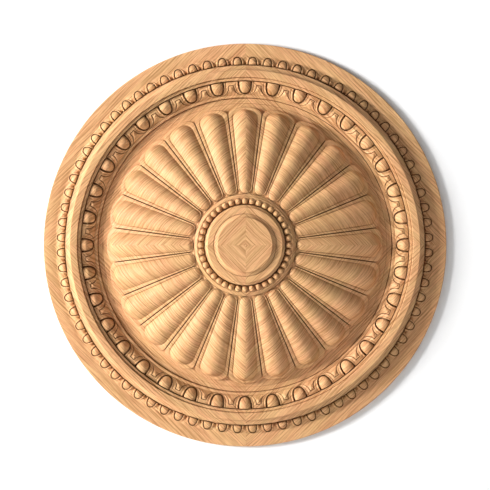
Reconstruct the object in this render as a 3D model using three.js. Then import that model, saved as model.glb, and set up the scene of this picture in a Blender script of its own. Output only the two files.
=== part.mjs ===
// A carved wooden rosette: one round solid with a flat back.
// Millimetres. The back lies in the plane y = 0 and the carving faces towards -Y.
// The origin is the middle of the back, and +Z is up.

import * as THREE from "three";

// Across the middle, from the centre outwards
const rosetteDiameter = 600;
const discRadius = 41;
const discSlopeWidth = 4.7;
const bossRingWidth = 9.8;
const bossEdgeWidth = 4;
const bossWallWidth = 1.6;
const beadDiameter = 8.8;
const beadFilletWidth = 2.2;
const beadFilletSlopeWidth = 4;

// Across the border, from the rim inwards
const flangeWidth = 18.2;
const outerEggWidth = 13.4;
const bandWallWidth = 0.8;
const bevelWidth = 7.5;
const bandTopWidth = 9.6;
const bandStepWidth = 1.2;
const bandFilletWidth = 4;
const bandFilletEdge = 0.3;
const innerEggWidth = 20.2;
const lowFilletWidth = 5.2;
const valleyStepWidth = 1.2;
const valleyWidth = 7.2;
const scallopStepWidth = 0.7;

// Heights: the flange and the valley from the back, the rest from what each one stands on
const flangeThickness = 6.5;
const outerEggRise = 6.5;
const bandWallRise = 5.3;
const bevelRise = 4.7;
const bandStepDrop = 1.8;
const innerEggDrop = 3.7;
const innerEggFall = 7.8;
const lowFilletDrop = 1.2;
const valleyThickness = 5.5;
const scallopRise = 1.1;
const tipRise = 1.4;
const fieldRise = 37;
const beadFloorRise = 1.5;
const beadFilletRise = 2.2;
const bossWallRise = 5.5;
const bossEdgeRise = 4.2;
const discRise = 5.2;

// Repeats round each ring
const petalCount = 24;
const beadCount = 40;
const innerEggCount = 36;
const outerEggCount = 76;
const rimSides = 120;

// Petals
const petalTipMargin = 4.3;
const petalTipBorder = 4.6;
const petalInnerBorder = 1.2;
const petalInnerMargin = 0.5;
const petalGrooveWidth = 1.5;
const petalGrooveDepth = 1.1;
const petalBorderRise = 0.5;
const petalTipLength = 15.5;
const petalShoulderInset = 2.4;

// Egg-and-dart: how far the carving stands out of its band or lies under it
const innerEggRise = 3.4;
const innerEggGrooveDepth = 1.6;
const innerShellRise = 1.4;
const innerDartRise = 1.2;
const outerEggDomeRise = 2.2;
const outerEggGrooveDepth = 1;
const outerDartRise = 0.9;

// Carving as shares of its own motif
const petalInnerShare = 0.795;
const petalOuterShare = 0.73;
const petalRiseShare = 0.42;
const borderTurnShare = 0.4;
const shoulderShare = 0.62;
const shoulderRiseShare = 0.66;
const beadFootShare = 0.97;
const beadShoulderShare = 0.68;
const beadShoulderRiseShare = 0.75;
const eggTipPower = 0.8;

// Radii
const rimRadius = rosetteDiameter / 2;
const discFootRadius = discRadius + discSlopeWidth;
const bossRingRadius = discFootRadius + bossRingWidth;
const bossEdgeRadius = bossRingRadius + bossEdgeWidth;
const beadInnerRadius = bossEdgeRadius + bossWallWidth;
const beadCentreRadius = beadInnerRadius + beadDiameter / 2;
const beadOuterRadius = beadInnerRadius + beadDiameter;
const beadFilletRadius = beadOuterRadius + beadFilletWidth;
const fieldInnerRadius = beadFilletRadius + beadFilletSlopeWidth;
const outerEggOuterRadius = rimRadius - flangeWidth;
const outerEggInnerRadius = outerEggOuterRadius - outerEggWidth;
const bevelOuterRadius = outerEggInnerRadius - bandWallWidth;
const bandOuterRadius = bevelOuterRadius - bevelWidth;
const bandInnerRadius = bandOuterRadius - bandTopWidth;
const bandFilletRadius = bandInnerRadius - bandStepWidth;
const innerEggOuterRadius = bandFilletRadius - bandFilletWidth;
const innerEggInnerRadius = innerEggOuterRadius - innerEggWidth;
const lowFilletRadius = innerEggInnerRadius - lowFilletWidth;
const valleyOuterRadius = lowFilletRadius - valleyStepWidth;
const valleyInnerRadius = valleyOuterRadius - valleyWidth;
const fieldOuterRadius = valleyInnerRadius - scallopStepWidth;

// Heights from the back
const bevelHeight = flangeThickness + outerEggRise + bandWallRise;
const bandHeight = bevelHeight + bevelRise;
const bandFilletHeight = bandHeight - bandStepDrop;
const innerEggTopHeight = bandFilletHeight - innerEggDrop;
const innerEggLowHeight = innerEggTopHeight - innerEggFall;
const lowFilletHeight = innerEggLowHeight - lowFilletDrop;
const scallopHeight = valleyThickness + scallopRise;
const tipHeight = scallopHeight + tipRise;
const fieldHeight = tipHeight + fieldRise;
const beadFloorHeight = fieldHeight + beadFloorRise;
const beadFilletHeight = beadFloorHeight + beadFilletRise;
const bossEdgeHeight = beadFloorHeight + bossWallRise;
const bossRingHeight = bossEdgeHeight + bossEdgeRise;
const discHeight = bossRingHeight + discRise;

// The skin: vertices, and triangles that face outwards
const positions = [];
const triangles = [];

function vertex(radius, angle, height) {
  positions.push(radius * Math.sin(angle), -height, radius * Math.cos(angle));
  return positions.length / 3 - 1;
}

function distance(a, b) {
  const step = [0, 1, 2].map((axis) => positions[3 * a + axis] - positions[3 * b + axis]);
  return Math.hypot(...step);
}

// A ring of vertices, clockwise from the front, with its first vertex repeated at the end
function ring(radius, height, count) {
  const loop = [];
  for (let i = 0; i < count; i += 1) {
    loop.push(vertex(radius, (2 * Math.PI * i) / count, height));
  }
  return [...loop, loop[0]];
}

// Joins two lines of vertices, both clockwise, the inner one nearer the middle, by their shorter diagonals
function join(inner, outer) {
  let i = 0;
  let j = 0;
  while (i < inner.length - 1 || j < outer.length - 1) {
    const innerEnded = i === inner.length - 1;
    const outerEnded = j === outer.length - 1;
    const stepInner = outerEnded
      || (!innerEnded && distance(inner[i + 1], outer[j]) < distance(inner[i], outer[j + 1]));
    if (stepInner) {
      triangles.push(inner[i], inner[i + 1], outer[j]);
      i += 1;
    } else {
      triangles.push(inner[i], outer[j + 1], outer[j]);
      j += 1;
    }
  }
}

// Places points of a motif, given as [across, radius, height], on the motif's own axis
function placed(points, axisAngle) {
  return points.map(([across, along, height]) =>
    vertex(Math.hypot(across, along), axisAngle + Math.atan2(across, along), height));
}

// The angle of the k-th of count motifs; k may be a fraction
function motifAngle(k, count) {
  return (2 * Math.PI * k) / count;
}

// Lines along the radius between one motif and the next, each from its inner to its outer end
function spokes(count, phase, profile) {
  return Array.from({ length: count }, (_, k) =>
    profile.map(([radius, height]) => vertex(radius, motifAngle(k + phase - 0.5, count), height)));
}

// The vertices between two spokes on an arc of a motif's cell
function arc(radius, height, count, k, steps) {
  return Array.from({ length: steps - 1 }, (_, i) =>
    vertex(radius, motifAngle(k - 0.5 + (i + 1) / steps, count), height));
}

function lerp(from, to, share) {
  return from + (to - from) * share;
}

// Centre disc and boss, down to the wall behind the beads
const bossTurns = [
  [discRadius, discHeight],
  [discFootRadius, bossRingHeight],
  [bossRingRadius, bossRingHeight],
  [bossEdgeRadius, bossEdgeHeight],
];

function carveBoss() {
  const centre = vertex(0, 0, discHeight);
  let last = ring(discRadius, discHeight, beadCount);
  last.slice(1).forEach((next, i) => triangles.push(centre, next, last[i]));
  bossTurns.slice(1).forEach(([radius, height]) => {
    const next = ring(radius, height, beadCount);
    join(last, next);
    last = next;
  });
  return last;
}

// Ring of beads in its channel
const beadSides = 6;

function beadLoop(share, rise, axisAngle) {
  const radius = (share * beadDiameter) / 2;
  const points = [];
  for (let i = 0; i < beadSides; i += 1) {
    const turn = (2 * Math.PI * (i - 1)) / beadSides;
    const along = beadCentreRadius + radius * Math.cos(turn);
    points.push([radius * Math.sin(turn), along, beadFloorHeight + rise]);
  }
  const loop = placed(points, axisAngle);
  return [...loop, loop[0]];
}

function carveBeads(innerRing) {
  const lines = spokes(beadCount, 0, [
    [beadInnerRadius, beadFloorHeight],
    [beadOuterRadius, beadFloorHeight],
  ]);
  const beadRise = beadDiameter / 2;
  lines.forEach((left, k) => {
    const right = lines[(k + 1) % beadCount];
    const axisAngle = motifAngle(k, beadCount);
    const foot = beadLoop(beadFootShare, 0, axisAngle);
    const shoulder = beadLoop(beadShoulderShare, beadShoulderRiseShare * beadRise, axisAngle);
    const top = vertex(beadCentreRadius, axisAngle, beadFloorHeight + beadRise);
    shoulder.slice(1).forEach((next, i) => triangles.push(top, next, shoulder[i]));
    join(shoulder, foot);
    join(foot, [left[1], right[1], right[0], left[0], left[1]]);
  });
  const innerEdge = lines.map((line) => line[0]);
  const outerEdge = lines.map((line) => line[1]);
  join(innerRing, [...innerEdge, innerEdge[0]]);
  return [...outerEdge, outerEdge[0]];
}

// The petal field falls from the boss to the petal tips along one arc of a circle
const tipRadius = fieldOuterRadius - petalTipMargin;
const fieldRun = tipRadius - beadInnerRadius;
const fieldArcRadius = (fieldRun ** 2 + fieldRise ** 2) / (2 * fieldRise);

function fieldGround(radius) {
  if (radius >= tipRadius) {
    return lerp(tipHeight, scallopHeight, (radius - tipRadius) / petalTipMargin);
  }
  const run = radius - beadInnerRadius;
  return fieldHeight - fieldArcRadius + Math.sqrt(fieldArcRadius ** 2 - run ** 2);
}

// Petals: a domed body inside a raised border, with a groove between neighbours
const halfPitchSlope = Math.tan(Math.PI / petalCount);
const bodyTipRadius = tipRadius - petalTipBorder;
const bodyOuterCentre = bodyTipRadius - petalTipLength;
const bodyInnerRadius = fieldInnerRadius + petalInnerMargin + petalInnerBorder;
const bodyInnerCentre = bodyInnerRadius / (1 - petalInnerShare * halfPitchSlope);
const borderOuterCentre = lerp(bodyOuterCentre, bodyTipRadius, borderTurnShare);
const tipSteps = 6;
const innerSteps = 3;
const sideSteps = 2;

// An outline of two elliptic ends and straight sides, clockwise from the left of the inner end
function petalOutline(inner, outer, rise, axisAngle) {
  const points = [];
  const add = (across, along) => {
    const radius = Math.hypot(across, along);
    points.push([across, along, fieldGround(radius) + rise(along)]);
  };
  for (let i = 0; i < sideSteps; i += 1) {
    const share = i / sideSteps;
    add(-lerp(inner.halfWidth, outer.halfWidth, share), lerp(inner.centre, outer.centre, share));
  }
  for (let i = 0; i <= tipSteps; i += 1) {
    const turn = (Math.PI * i) / tipSteps;
    add(-outer.halfWidth * Math.cos(turn), outer.centre + outer.reach * Math.sin(turn));
  }
  for (let i = sideSteps - 1; i > 0; i -= 1) {
    const share = i / sideSteps;
    add(lerp(inner.halfWidth, outer.halfWidth, share), lerp(inner.centre, outer.centre, share));
  }
  for (let i = 0; i < innerSteps; i += 1) {
    const turn = (Math.PI * i) / innerSteps;
    add(inner.halfWidth * Math.cos(turn), inner.centre - inner.reach * Math.sin(turn));
  }
  const loop = placed(points, axisAngle);
  return [...loop, loop[0]];
}

function bodyHalfWidth(along) {
  const share = (along - bodyInnerCentre) / (bodyOuterCentre - bodyInnerCentre);
  return along * halfPitchSlope * lerp(petalInnerShare, petalOuterShare, share);
}

function bodyRise(along) {
  const held = Math.min(Math.max(along, bodyInnerCentre), bodyOuterCentre);
  return petalRiseShare * bodyHalfWidth(held);
}

function bodyEnds(share, inset) {
  const innerHalfWidth = bodyHalfWidth(bodyInnerCentre);
  const inner = {
    centre: bodyInnerCentre,
    halfWidth: share * innerHalfWidth,
    reach: bodyInnerCentre - bodyInnerRadius - inset,
  };
  const outer = {
    centre: bodyOuterCentre,
    halfWidth: share * bodyHalfWidth(bodyOuterCentre),
    reach: petalTipLength - inset,
  };
  return [inner, outer];
}

function borderEnds() {
  const inner = {
    centre: bodyInnerCentre,
    halfWidth: bodyInnerCentre * halfPitchSlope - petalGrooveWidth / 2,
    reach: bodyInnerCentre - fieldInnerRadius - petalInnerMargin,
  };
  const outer = {
    centre: borderOuterCentre,
    halfWidth: borderOuterCentre * halfPitchSlope - petalGrooveWidth / 2,
    reach: tipRadius - borderOuterCentre,
  };
  return [inner, outer];
}

function carvePetals() {
  const grooved = [0, 1 / 3, 2 / 3, 1].map((share) => lerp(bodyInnerCentre, borderOuterCentre, share));
  const lines = spokes(petalCount, 0, [
    [fieldInnerRadius, fieldGround(fieldInnerRadius)],
    ...grooved.map((radius) => [radius, fieldGround(radius) - petalGrooveDepth]),
    [tipRadius, fieldGround(tipRadius) - petalGrooveDepth],
    [fieldOuterRadius, scallopHeight],
  ]);
  const innerEdge = [];
  const outerEdge = [];
  const arcSteps = 3;
  lines.forEach((left, k) => {
    const right = lines[(k + 1) % petalCount];
    const axisAngle = motifAngle(k, petalCount);
    const border = petalOutline(...borderEnds(), () => petalBorderRise, axisAngle);
    const foot = petalOutline(...bodyEnds(1, 0), () => 0, axisAngle);
    const shoulderRise = (along) => shoulderRiseShare * bodyRise(along);
    const shoulder = petalOutline(...bodyEnds(shoulderShare, petalShoulderInset), shoulderRise, axisAngle);
    const crownEnd = bodyOuterCentre + (petalTipLength - petalShoulderInset) * shoulderShare;
    const crown = placed([0, 1 / 2, 1].map((share) => {
      const along = lerp(bodyInnerCentre, crownEnd, share);
      return [0, along, fieldGround(along) + bodyRise(along)];
    }), axisAngle);
    const innerArc = arc(fieldInnerRadius, fieldGround(fieldInnerRadius), petalCount, k, 2);
    const outerArc = arc(fieldOuterRadius, scallopHeight, petalCount, k, arcSteps);
    join([...crown, ...crown.slice(0, -1).reverse()], shoulder);
    join(shoulder, foot);
    join(foot, border);
    join(border, [...left, ...outerArc, ...[...right].reverse(), ...innerArc, left[0]]);
    innerEdge.push(left[0], ...innerArc);
    outerEdge.push(left[left.length - 1], ...outerArc);
  });
  return [[...innerEdge, innerEdge[0]], [...outerEdge, outerEdge[0]]];
}

// Egg-and-dart: each egg is cut flat on one side and ringed by a groove, with a dart between neighbours.
// An outline runs from its left end on the flat side round the tip to its right end.
function eggOutline(band, loop, axisAngle) {
  const halfWidth = (loop.share * Math.PI * band.flatRadius) / band.count;
  const points = [];
  for (let i = 0; i <= band.steps; i += 1) {
    const turn = (Math.PI * i) / band.steps;
    const atEnd = i === 0 || i === band.steps;
    const reach = atEnd ? 0 : loop.reach * band.width * Math.sin(turn) ** eggTipPower;
    const along = band.flatRadius + band.direction * reach;
    points.push([-halfWidth * Math.cos(turn), along, band.ground(reach) + loop.rise]);
  }
  return placed(points, axisAngle);
}

function eggCrown(band, axisAngle) {
  const points = [0, band.loops[0].reach * shoulderShare].map((share) => {
    const reach = share * band.width;
    return [0, band.flatRadius + band.direction * reach, band.ground(reach) + band.eggRise];
  });
  return placed(points, axisAngle);
}

function carveEggs(band) {
  const flat = [];
  const tips = [];
  const lines = spokes(band.count, band.phase, band.spoke.map(([share, rise]) => {
    const reach = share * band.width;
    return [band.flatRadius + band.direction * reach, band.ground(reach) + rise];
  }));
  const tipRingRadius = band.flatRadius + band.direction * band.width;
  lines.forEach((left, k) => {
    const right = lines[(k + 1) % band.count];
    const axisAngle = motifAngle(k + band.phase, band.count);
    const crown = eggCrown(band, axisAngle);
    const outlines = band.loops.map((loop) => eggOutline(band, loop, axisAngle));
    const tipArc = arc(tipRingRadius, band.ground(band.width), band.count, k + band.phase, band.arcSteps);
    const frame = [...left, ...tipArc, ...[...right].reverse()];
    const paths = [[crown[0], crown[1], crown[0]], ...outlines, frame];
    const turned = band.direction > 0 ? paths : paths.map((path) => [...path].reverse());
    turned.slice(1).forEach((outer, i) => join(turned[i], outer));
    const leftEnds = outlines.map((outline) => outline[0]).reverse();
    const rightEnds = outlines.map((outline) => outline[outline.length - 1]);
    flat.push(left[0], ...leftEnds, crown[0], ...rightEnds);
    tips.push(left[left.length - 1], ...tipArc);
  });
  return [[...flat, flat[0]], [...tips, tips[0]]];
}

// The ground of a band falls from its flat side to its tip side as a quarter wave
function quarterWave(reach, width) {
  return Math.cos(((reach / width) * Math.PI) / 2);
}

// Each loop is the outline of an egg's shoulder, its groove or its shell: share of pitch, reach and rise.
// The spoke is the middle line of the dart: reach and rise.
const innerEggs = {
  count: innerEggCount,
  phase: 0,
  direction: -1,
  flatRadius: innerEggOuterRadius,
  width: innerEggWidth,
  ground: (reach) => innerEggLowHeight + innerEggFall * quarterWave(reach, innerEggWidth),
  steps: 6,
  arcSteps: 2,
  eggRise: innerEggRise,
  loops: [
    { share: 0.33, reach: 0.84, rise: innerEggRise * shoulderRiseShare },
    { share: 0.45, reach: 0.95, rise: -innerEggGrooveDepth },
    { share: 0.78, reach: 0.99, rise: innerShellRise },
  ],
  spoke: [[0, 0], [0.33, innerDartRise], [1, 0]],
};

const outerEggs = {
  count: outerEggCount,
  phase: 0.5,
  direction: 1,
  flatRadius: outerEggInnerRadius,
  width: outerEggWidth,
  ground: (reach) => flangeThickness + outerEggRise * quarterWave(reach, outerEggWidth),
  steps: 4,
  arcSteps: 1,
  eggRise: outerEggDomeRise,
  loops: [
    { share: 0.42, reach: 0.72, rise: outerEggDomeRise * shoulderRiseShare },
    { share: 0.58, reach: 0.84, rise: -outerEggGrooveDepth },
  ],
  spoke: [[0, outerDartRise], [0.7, outerDartRise], [1, 0]],
};

// Plain rings between the carved ones, and the back
const valleyTurns = [
  [valleyInnerRadius, valleyThickness],
  [valleyOuterRadius, valleyThickness],
  [lowFilletRadius, lowFilletHeight],
];
const bandTurns = [
  [innerEggOuterRadius + bandFilletEdge, bandFilletHeight],
  [bandFilletRadius, bandFilletHeight],
  [bandInnerRadius, bandHeight],
  [bandOuterRadius, bandHeight],
  [bevelOuterRadius, bevelHeight],
];
const rimTurns = [
  [rimRadius, flangeThickness],
  [rimRadius, 0],
];

function turnRings(start, turns, count) {
  return turns.reduce((last, [radius, height]) => {
    const next = ring(radius, height, count);
    join(last, next);
    return next;
  }, start);
}

const [petalInnerEdge, petalOuterEdge] = carvePetals();
const beadOuterEdge = carveBeads(carveBoss());
join(turnRings(beadOuterEdge, [[beadFilletRadius, beadFilletHeight]], beadCount), petalInnerEdge);
const [innerEggFlat, innerEggTips] = carveEggs(innerEggs);
join(turnRings(petalOuterEdge, valleyTurns, 3 * petalCount), innerEggTips);
const [outerEggFlat, outerEggTips] = carveEggs(outerEggs);
join(turnRings(innerEggFlat, bandTurns, 2 * innerEggCount), outerEggFlat);
const backEdge = turnRings(outerEggTips, rimTurns, rimSides);
const backCentre = vertex(0, 0, 0);
backEdge.slice(1).forEach((next, i) => triangles.push(backEdge[i], next, backCentre));

const geometry = new THREE.BufferGeometry();
geometry.setAttribute("position", new THREE.Float32BufferAttribute(positions, 3));
geometry.setIndex(triangles);
geometry.computeVertexNormals();

const wood = new THREE.MeshStandardMaterial({ color: 0xcf9b68, roughness: 0.6, metalness: 0 });
const rosette = new THREE.Mesh(geometry, wood);
rosette.name = "rosette";

const group = new THREE.Group();
group.add(rosette);

export default group;
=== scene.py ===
import math

import bmesh
import bpy
import numpy as np
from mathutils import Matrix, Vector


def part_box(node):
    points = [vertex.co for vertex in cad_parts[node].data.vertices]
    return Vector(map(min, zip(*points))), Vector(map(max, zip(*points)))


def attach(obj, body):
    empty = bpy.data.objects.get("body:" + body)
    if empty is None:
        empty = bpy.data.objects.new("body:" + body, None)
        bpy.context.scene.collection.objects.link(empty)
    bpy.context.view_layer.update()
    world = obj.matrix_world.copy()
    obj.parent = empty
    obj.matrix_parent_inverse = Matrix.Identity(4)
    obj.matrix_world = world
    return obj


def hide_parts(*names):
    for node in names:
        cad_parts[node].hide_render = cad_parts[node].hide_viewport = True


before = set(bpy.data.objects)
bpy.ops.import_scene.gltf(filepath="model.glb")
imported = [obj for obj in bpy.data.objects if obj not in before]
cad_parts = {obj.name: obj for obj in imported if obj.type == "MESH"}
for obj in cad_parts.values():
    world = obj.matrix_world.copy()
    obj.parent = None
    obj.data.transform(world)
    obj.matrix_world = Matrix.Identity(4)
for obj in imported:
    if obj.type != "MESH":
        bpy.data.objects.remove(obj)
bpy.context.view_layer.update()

# A carved wooden rosette, hung flat on a wall: one closed skin of wood, its look, and a plain studio.
# The carving is worked out in millimetres. Radii run from the middle, heights stand off the flat back.
MM = 0.001

node_low, node_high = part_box("rosette")
RIM_RADIUS = node_high[0] / MM
DISC_HEIGHT = -node_low[1] / MM

# How many of each motif stand round their ring
PETALS = 24
BEADS = 40
INNER_EGGS = 36
OUTER_EGGS = 76

# Boss, with its raised disc
DISC_RADIUS = 40.2
DISC_RISE = 5.2
DISC_FOOT_RADIUS = 45.6
DISC_STEP = 0.5
DISC_QUIRK_DEPTH = 0.7
BOSS_RING_RADIUS = 55.2
BOSS_RING_HEIGHT = DISC_HEIGHT - DISC_RISE
BOSS_EDGE_RADIUS = 59.0
BOSS_EDGE_DROP = 4.2
BOSS_WALL_DROP = 5.5

# Ring of beads
BEAD_INNER_RADIUS = 60.4
BEAD_DIAMETER = 9.5
BEAD_WIDTH_SHARE = 0.95
BEAD_FLOOR = BOSS_RING_HEIGHT - BOSS_EDGE_DROP - BOSS_WALL_DROP
BEAD_CENTRE_RADIUS = BEAD_INNER_RADIUS + BEAD_DIAMETER / 2
BEAD_OUTER_RADIUS = BEAD_INNER_RADIUS + BEAD_DIAMETER
BEAD_GAP_DEPTH = 1.1
BEAD_LIFT = 1.4
BEAD_OUTER_GROUND = BEAD_FLOOR + 1.5
BEAD_FILLET_RADIUS = 71.3
BEAD_FILLET_RISE = 2.2
BEAD_FILLET_DROP = 3.2
BEAD_FILLET_FOOT_RADIUS = 75.1
BEAD_FILLET_QUIRK_START = 0.9
BEAD_FILLET_QUIRK_END = 0.7

# Field of petals, which falls from the boss along an arc of a circle, then straight on to the tips
FIELD_INNER_RADIUS = 76.1
FIELD_OUTER_RADIUS = 210.8
TIP_RADIUS = 205.4
FIELD_TOP = BEAD_FLOOR - 1.5
TIP_HEIGHT = 7.5
SCALLOP_HEIGHT = 4.1

# Low hollow round the petal tips, and the low fillet
VALLEY_INNER_RADIUS = 211.5
VALLEY_OUTER_RADIUS = 218.7
VALLEY_HEIGHT = 3.2
VALLEY_DIP = 0.3
VALLEY_DIP_CUT = 2.2
VALLEY_QUIRK_DEPTH = 0.4
LOW_FILLET_RADIUS = 219.9
LOW_FILLET_HEIGHT = 7.3
LOW_FILLET_QUIRK_DEPTH = 1.0

# Inner eggs, with their flat side outwards. Their ground falls inwards from its crown
INNER_EGG_INNER_RADIUS = 225.1
INNER_EGG_OUTER_RADIUS = 243.2
INNER_EGG_LOW = 9.0
INNER_EGG_FALL = 6.9
INNER_EGG_CROWN = 6.3
INNER_EGG_DIP = 1.1
INNER_EGG_END = 19.4
INNER_EGG_END_SINK = 2.2

# Flat band and its bevel
BAND_FILLET_HEIGHT = 20.6
BAND_FILLET_RADIUS = 248.4
BAND_INNER_RADIUS = 249.9
BAND_OUTER_RADIUS = 259.7
BAND_HEIGHT = 24.3
BAND_STEP_DEPTH = 0.6
BAND_QUIRK_WIDTH = 0.8
BAND_QUIRK_DEPTH = 1.4
BEVEL_STEP_RADIUS = 265.0
BEVEL_STEP = 0.7
BEVEL_OUTER_RADIUS = 266.8
BEVEL_HEIGHT = 18.0

# Flange, dished beside the outer eggs: (distance from the eggs, depth) of the dish
FLANGE_HEIGHT = 6.5
FLANGE_DISH = 1.0
FLANGE_DISH_PROFILE = ((0.0, FLANGE_DISH), (0.5, FLANGE_DISH), (2.5, 0.6), (6.0, 0.25))
FLANGE_STEP = 0.3
RIM_FRONT_CUT = 1.2
RIM_BACK_CUT = 0.6

# Outer eggs, with their flat side inwards. Their ground falls outwards from its crown
OUTER_EGG_INNER_RADIUS = 268.9
OUTER_EGG_WIDTH = 13.5
OUTER_EGG_FALL = 6.1
OUTER_EGG_CROWN = 2.8
OUTER_EGG_DIP = 1.2
OUTER_EGG_FOOT = 12.2


def lerp(start, end, share):
    return start + (end - start) * share


class Carving:
    """Points as (across, along, height) in a motif's own axes, and the triangles between them."""

    def __init__(self):
        self.points = []
        self.triangles = []

    def line(self, points):
        first = len(self.points)
        self.points.extend(points)
        return list(range(first, len(self.points)))

    def gap(self, a, b):
        return math.dist(self.points[a], self.points[b])

    def join(self, inner, outer):
        """Fills the strip between two lines that both run clockwise, the inner one nearer the middle."""
        i = j = 0
        paired = len(inner) == len(outer)
        while i < len(inner) - 1 or j < len(outer) - 1:
            if j == len(outer) - 1:
                inner_next = True
            elif i == len(inner) - 1:
                inner_next = False
            elif paired and i != j:
                inner_next = i < j
            else:
                inner_next = self.gap(inner[i + 1], outer[j]) < self.gap(inner[i], outer[j + 1])
            if inner_next:
                self.add(inner[i], inner[i + 1], outer[j])
                i += 1
            else:
                self.add(inner[i], outer[j + 1], outer[j])
                j += 1

    def add(self, a, b, c):
        if len({a, b, c}) == 3:
            self.triangles.append((a, b, c))

    def chain(self, lines):
        for inner, outer in zip(lines, lines[1:]):
            self.join(inner, outer)


def polar(radius, angle, height):
    return (radius * math.sin(angle), radius * math.cos(angle), height)


def ring_points(radius, height, count):
    return [polar(radius, 2 * math.pi * i / count, height) for i in range(count)]


def closed(line):
    return [*line, line[0]]


WIDE_CUT = 2
CUT_STEPS = 3
WIDE_CUT_STEPS = 7


def softened(corners):
    """A profile of (radius, height, cut) corners, each rounded off over its cut on both sides."""
    profile = []
    for i, (radius, height, cut) in enumerate(corners):
        if cut == 0 or i in (0, len(corners) - 1):
            profile.append((radius, height))
            continue
        corner = np.array((radius, height))
        before = np.array(corners[i - 1][:2]) - corner
        after = np.array(corners[i + 1][:2]) - corner
        start = corner + before / np.linalg.norm(before) * cut
        end = corner + after / np.linalg.norm(after) * cut
        steps = CUT_STEPS if cut < WIDE_CUT else WIDE_CUT_STEPS
        for step in range(steps + 1):
            t = step / steps
            profile.append(tuple((1 - t) ** 2 * start + 2 * t * (1 - t) * corner + t ** 2 * end))
    return profile


def turned(corners, count):
    """A plain moulding, its profile turned round the middle. Short steps in radius make its quirks."""
    carving = Carving()
    rings = []
    for radius, height in softened(corners):
        rings.append(closed(carving.line(ring_points(radius, height, count))))
    carving.chain(rings)
    return carving, rings[0], rings[-1]


COVE_HOLLOWNESS = 1.8
COVE_SHARES = (0.0, 0.14, 0.3, 0.48, 0.7, 1.0)


def cove(start_radius, start_height, end_radius, end_height):
    """A hollow slope, steep at its start and level at its end."""
    corners = []
    for share in COVE_SHARES:
        height = lerp(end_height, start_height, (1 - share) ** COVE_HOLLOWNESS)
        corners.append((lerp(start_radius, end_radius, share), height, 0))
    return corners


# Boss
BOSS_SIDES = 240


def boss():
    edge_height = BOSS_RING_HEIGHT - BOSS_EDGE_DROP
    carving, first, last = turned([
        (DISC_RADIUS / 2, DISC_HEIGHT, 0),
        *cove(DISC_RADIUS, DISC_HEIGHT, DISC_FOOT_RADIUS, BOSS_RING_HEIGHT + DISC_STEP),
        (DISC_FOOT_RADIUS + 0.3, BOSS_RING_HEIGHT - DISC_QUIRK_DEPTH, 0),
        (DISC_FOOT_RADIUS + 0.8, BOSS_RING_HEIGHT - DISC_QUIRK_DEPTH, 0),
        (DISC_FOOT_RADIUS + 1.2, BOSS_RING_HEIGHT, 0),
        *cove(BOSS_RING_RADIUS, BOSS_RING_HEIGHT, BOSS_EDGE_RADIUS, edge_height),
        (BOSS_EDGE_RADIUS + 0.5, BEAD_FLOOR, 0),
        (BEAD_INNER_RADIUS, BEAD_FLOOR - BEAD_GAP_DEPTH, 0),
    ], BOSS_SIDES)
    centre = carving.line([(0, 0, DISC_HEIGHT)])[0]
    for a, b in zip(first, first[1:]):
        carving.add(centre, b, a)
    return carving, first, last


def arc_points(radius, height, count, steps):
    """The points inside an arc of one motif's cell, its two ends left out."""
    half = math.pi / count
    return [polar(radius, lerp(-half, half, i / steps), height) for i in range(1, steps)]


def spoke_points(profile, count, side):
    """A cell's edge, from the given (radius, height) profile; side is -1 on the left and 1 on the right."""
    return [polar(radius, side * math.pi / count, height) for radius, height in profile]


# Beads. Each loop of a bead starts on the side of its cell's inner left corner
BEAD_SIDES = 24
BEAD_LEVELS = 6
BEAD_ARC_STEPS = 6
BEAD_FOOT_SHARE = 0.98
BEAD_START_TURN = 0.75 * math.pi


def bead():
    carving = Carving()
    radius = BEAD_DIAMETER / 2
    top = carving.line([(0, BEAD_CENTRE_RADIUS, BEAD_FLOOR + BEAD_LIFT + radius)])[0]
    loops = []
    for level in range(1, BEAD_LEVELS + 1):
        lean = level / BEAD_LEVELS * math.pi / 2
        points = []
        for i in range(BEAD_SIDES):
            turn = 2 * math.pi * i / BEAD_SIDES - BEAD_START_TURN
            out = BEAD_FOOT_SHARE * radius * math.sin(lean)
            height = BEAD_FLOOR + BEAD_LIFT + radius * math.cos(lean)
            side = BEAD_WIDTH_SHARE * out * math.sin(turn)
            points.append((side, BEAD_CENTRE_RADIUS + out * math.cos(turn), height))
        loops.append(closed(carving.line(points)))
    for a, b in zip(loops[0], loops[0][1:]):
        carving.add(top, b, a)
    carving.chain(loops)
    ground = BEAD_FLOOR - BEAD_GAP_DEPTH
    edge = [(BEAD_INNER_RADIUS, ground), (BEAD_OUTER_RADIUS, BEAD_OUTER_GROUND)]
    left = carving.line(spoke_points(edge, BEADS, -1))
    outer = carving.line(arc_points(BEAD_OUTER_RADIUS, BEAD_OUTER_GROUND, BEADS, BEAD_ARC_STEPS))
    right = carving.line(spoke_points(edge, BEADS, 1))
    inner = carving.line(arc_points(BEAD_INNER_RADIUS, ground, BEADS, BEAD_ARC_STEPS))
    carving.join(loops[-1], closed([*left, *outer, *reversed(right), *reversed(inner)]))
    return carving, [left[0], *inner, right[0]], [left[-1], *outer, right[-1]]


# Petals. First the field's arc, and the slope at which it runs on straight
FIELD_RUN = TIP_RADIUS - BEAD_INNER_RADIUS
FIELD_RISE = FIELD_TOP - TIP_HEIGHT
FIELD_ARC_RADIUS = (FIELD_RUN ** 2 + FIELD_RISE ** 2) / (2 * FIELD_RISE)
FIELD_STRAIGHT_SLOPE = math.radians(22.5)
FIELD_INNER_SINK = 0.5
SCALLOP_RADIUS = 208.9

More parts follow.
